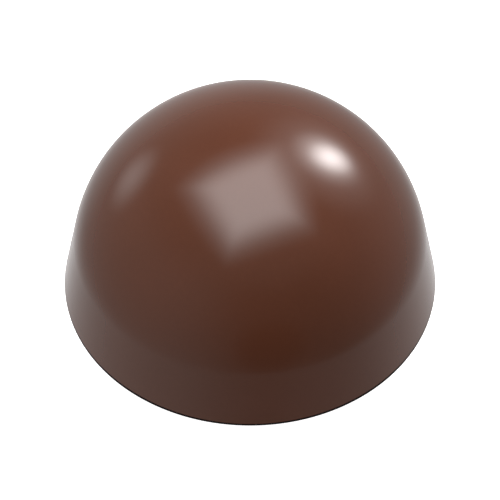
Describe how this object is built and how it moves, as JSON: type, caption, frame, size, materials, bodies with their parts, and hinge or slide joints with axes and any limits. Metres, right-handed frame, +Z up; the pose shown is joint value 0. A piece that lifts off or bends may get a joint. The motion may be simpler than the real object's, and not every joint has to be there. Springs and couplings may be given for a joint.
{
  "type": "chocolate praline",
  "caption": "Moulded chocolate praline: a smooth glossy half-ball dome on a low foot that widens to a sharp lower rim, with a flat underside.",
  "frame": {"origin": "centre of the flat underside, at the height of the surface it rests on", "axes": "+Z up through the top of the dome, along the axis of revolution; +X and +Y level, and alike because the shape is round"},
  "size_m": [0.03, 0.03, 0.0173],
  "materials": {
    "chocolate": "glossy tempered milk chocolate, moulded smooth"
  },
  "bodies": {
    "root": {"praline": "chocolate"}
  },
  "joints": []
}
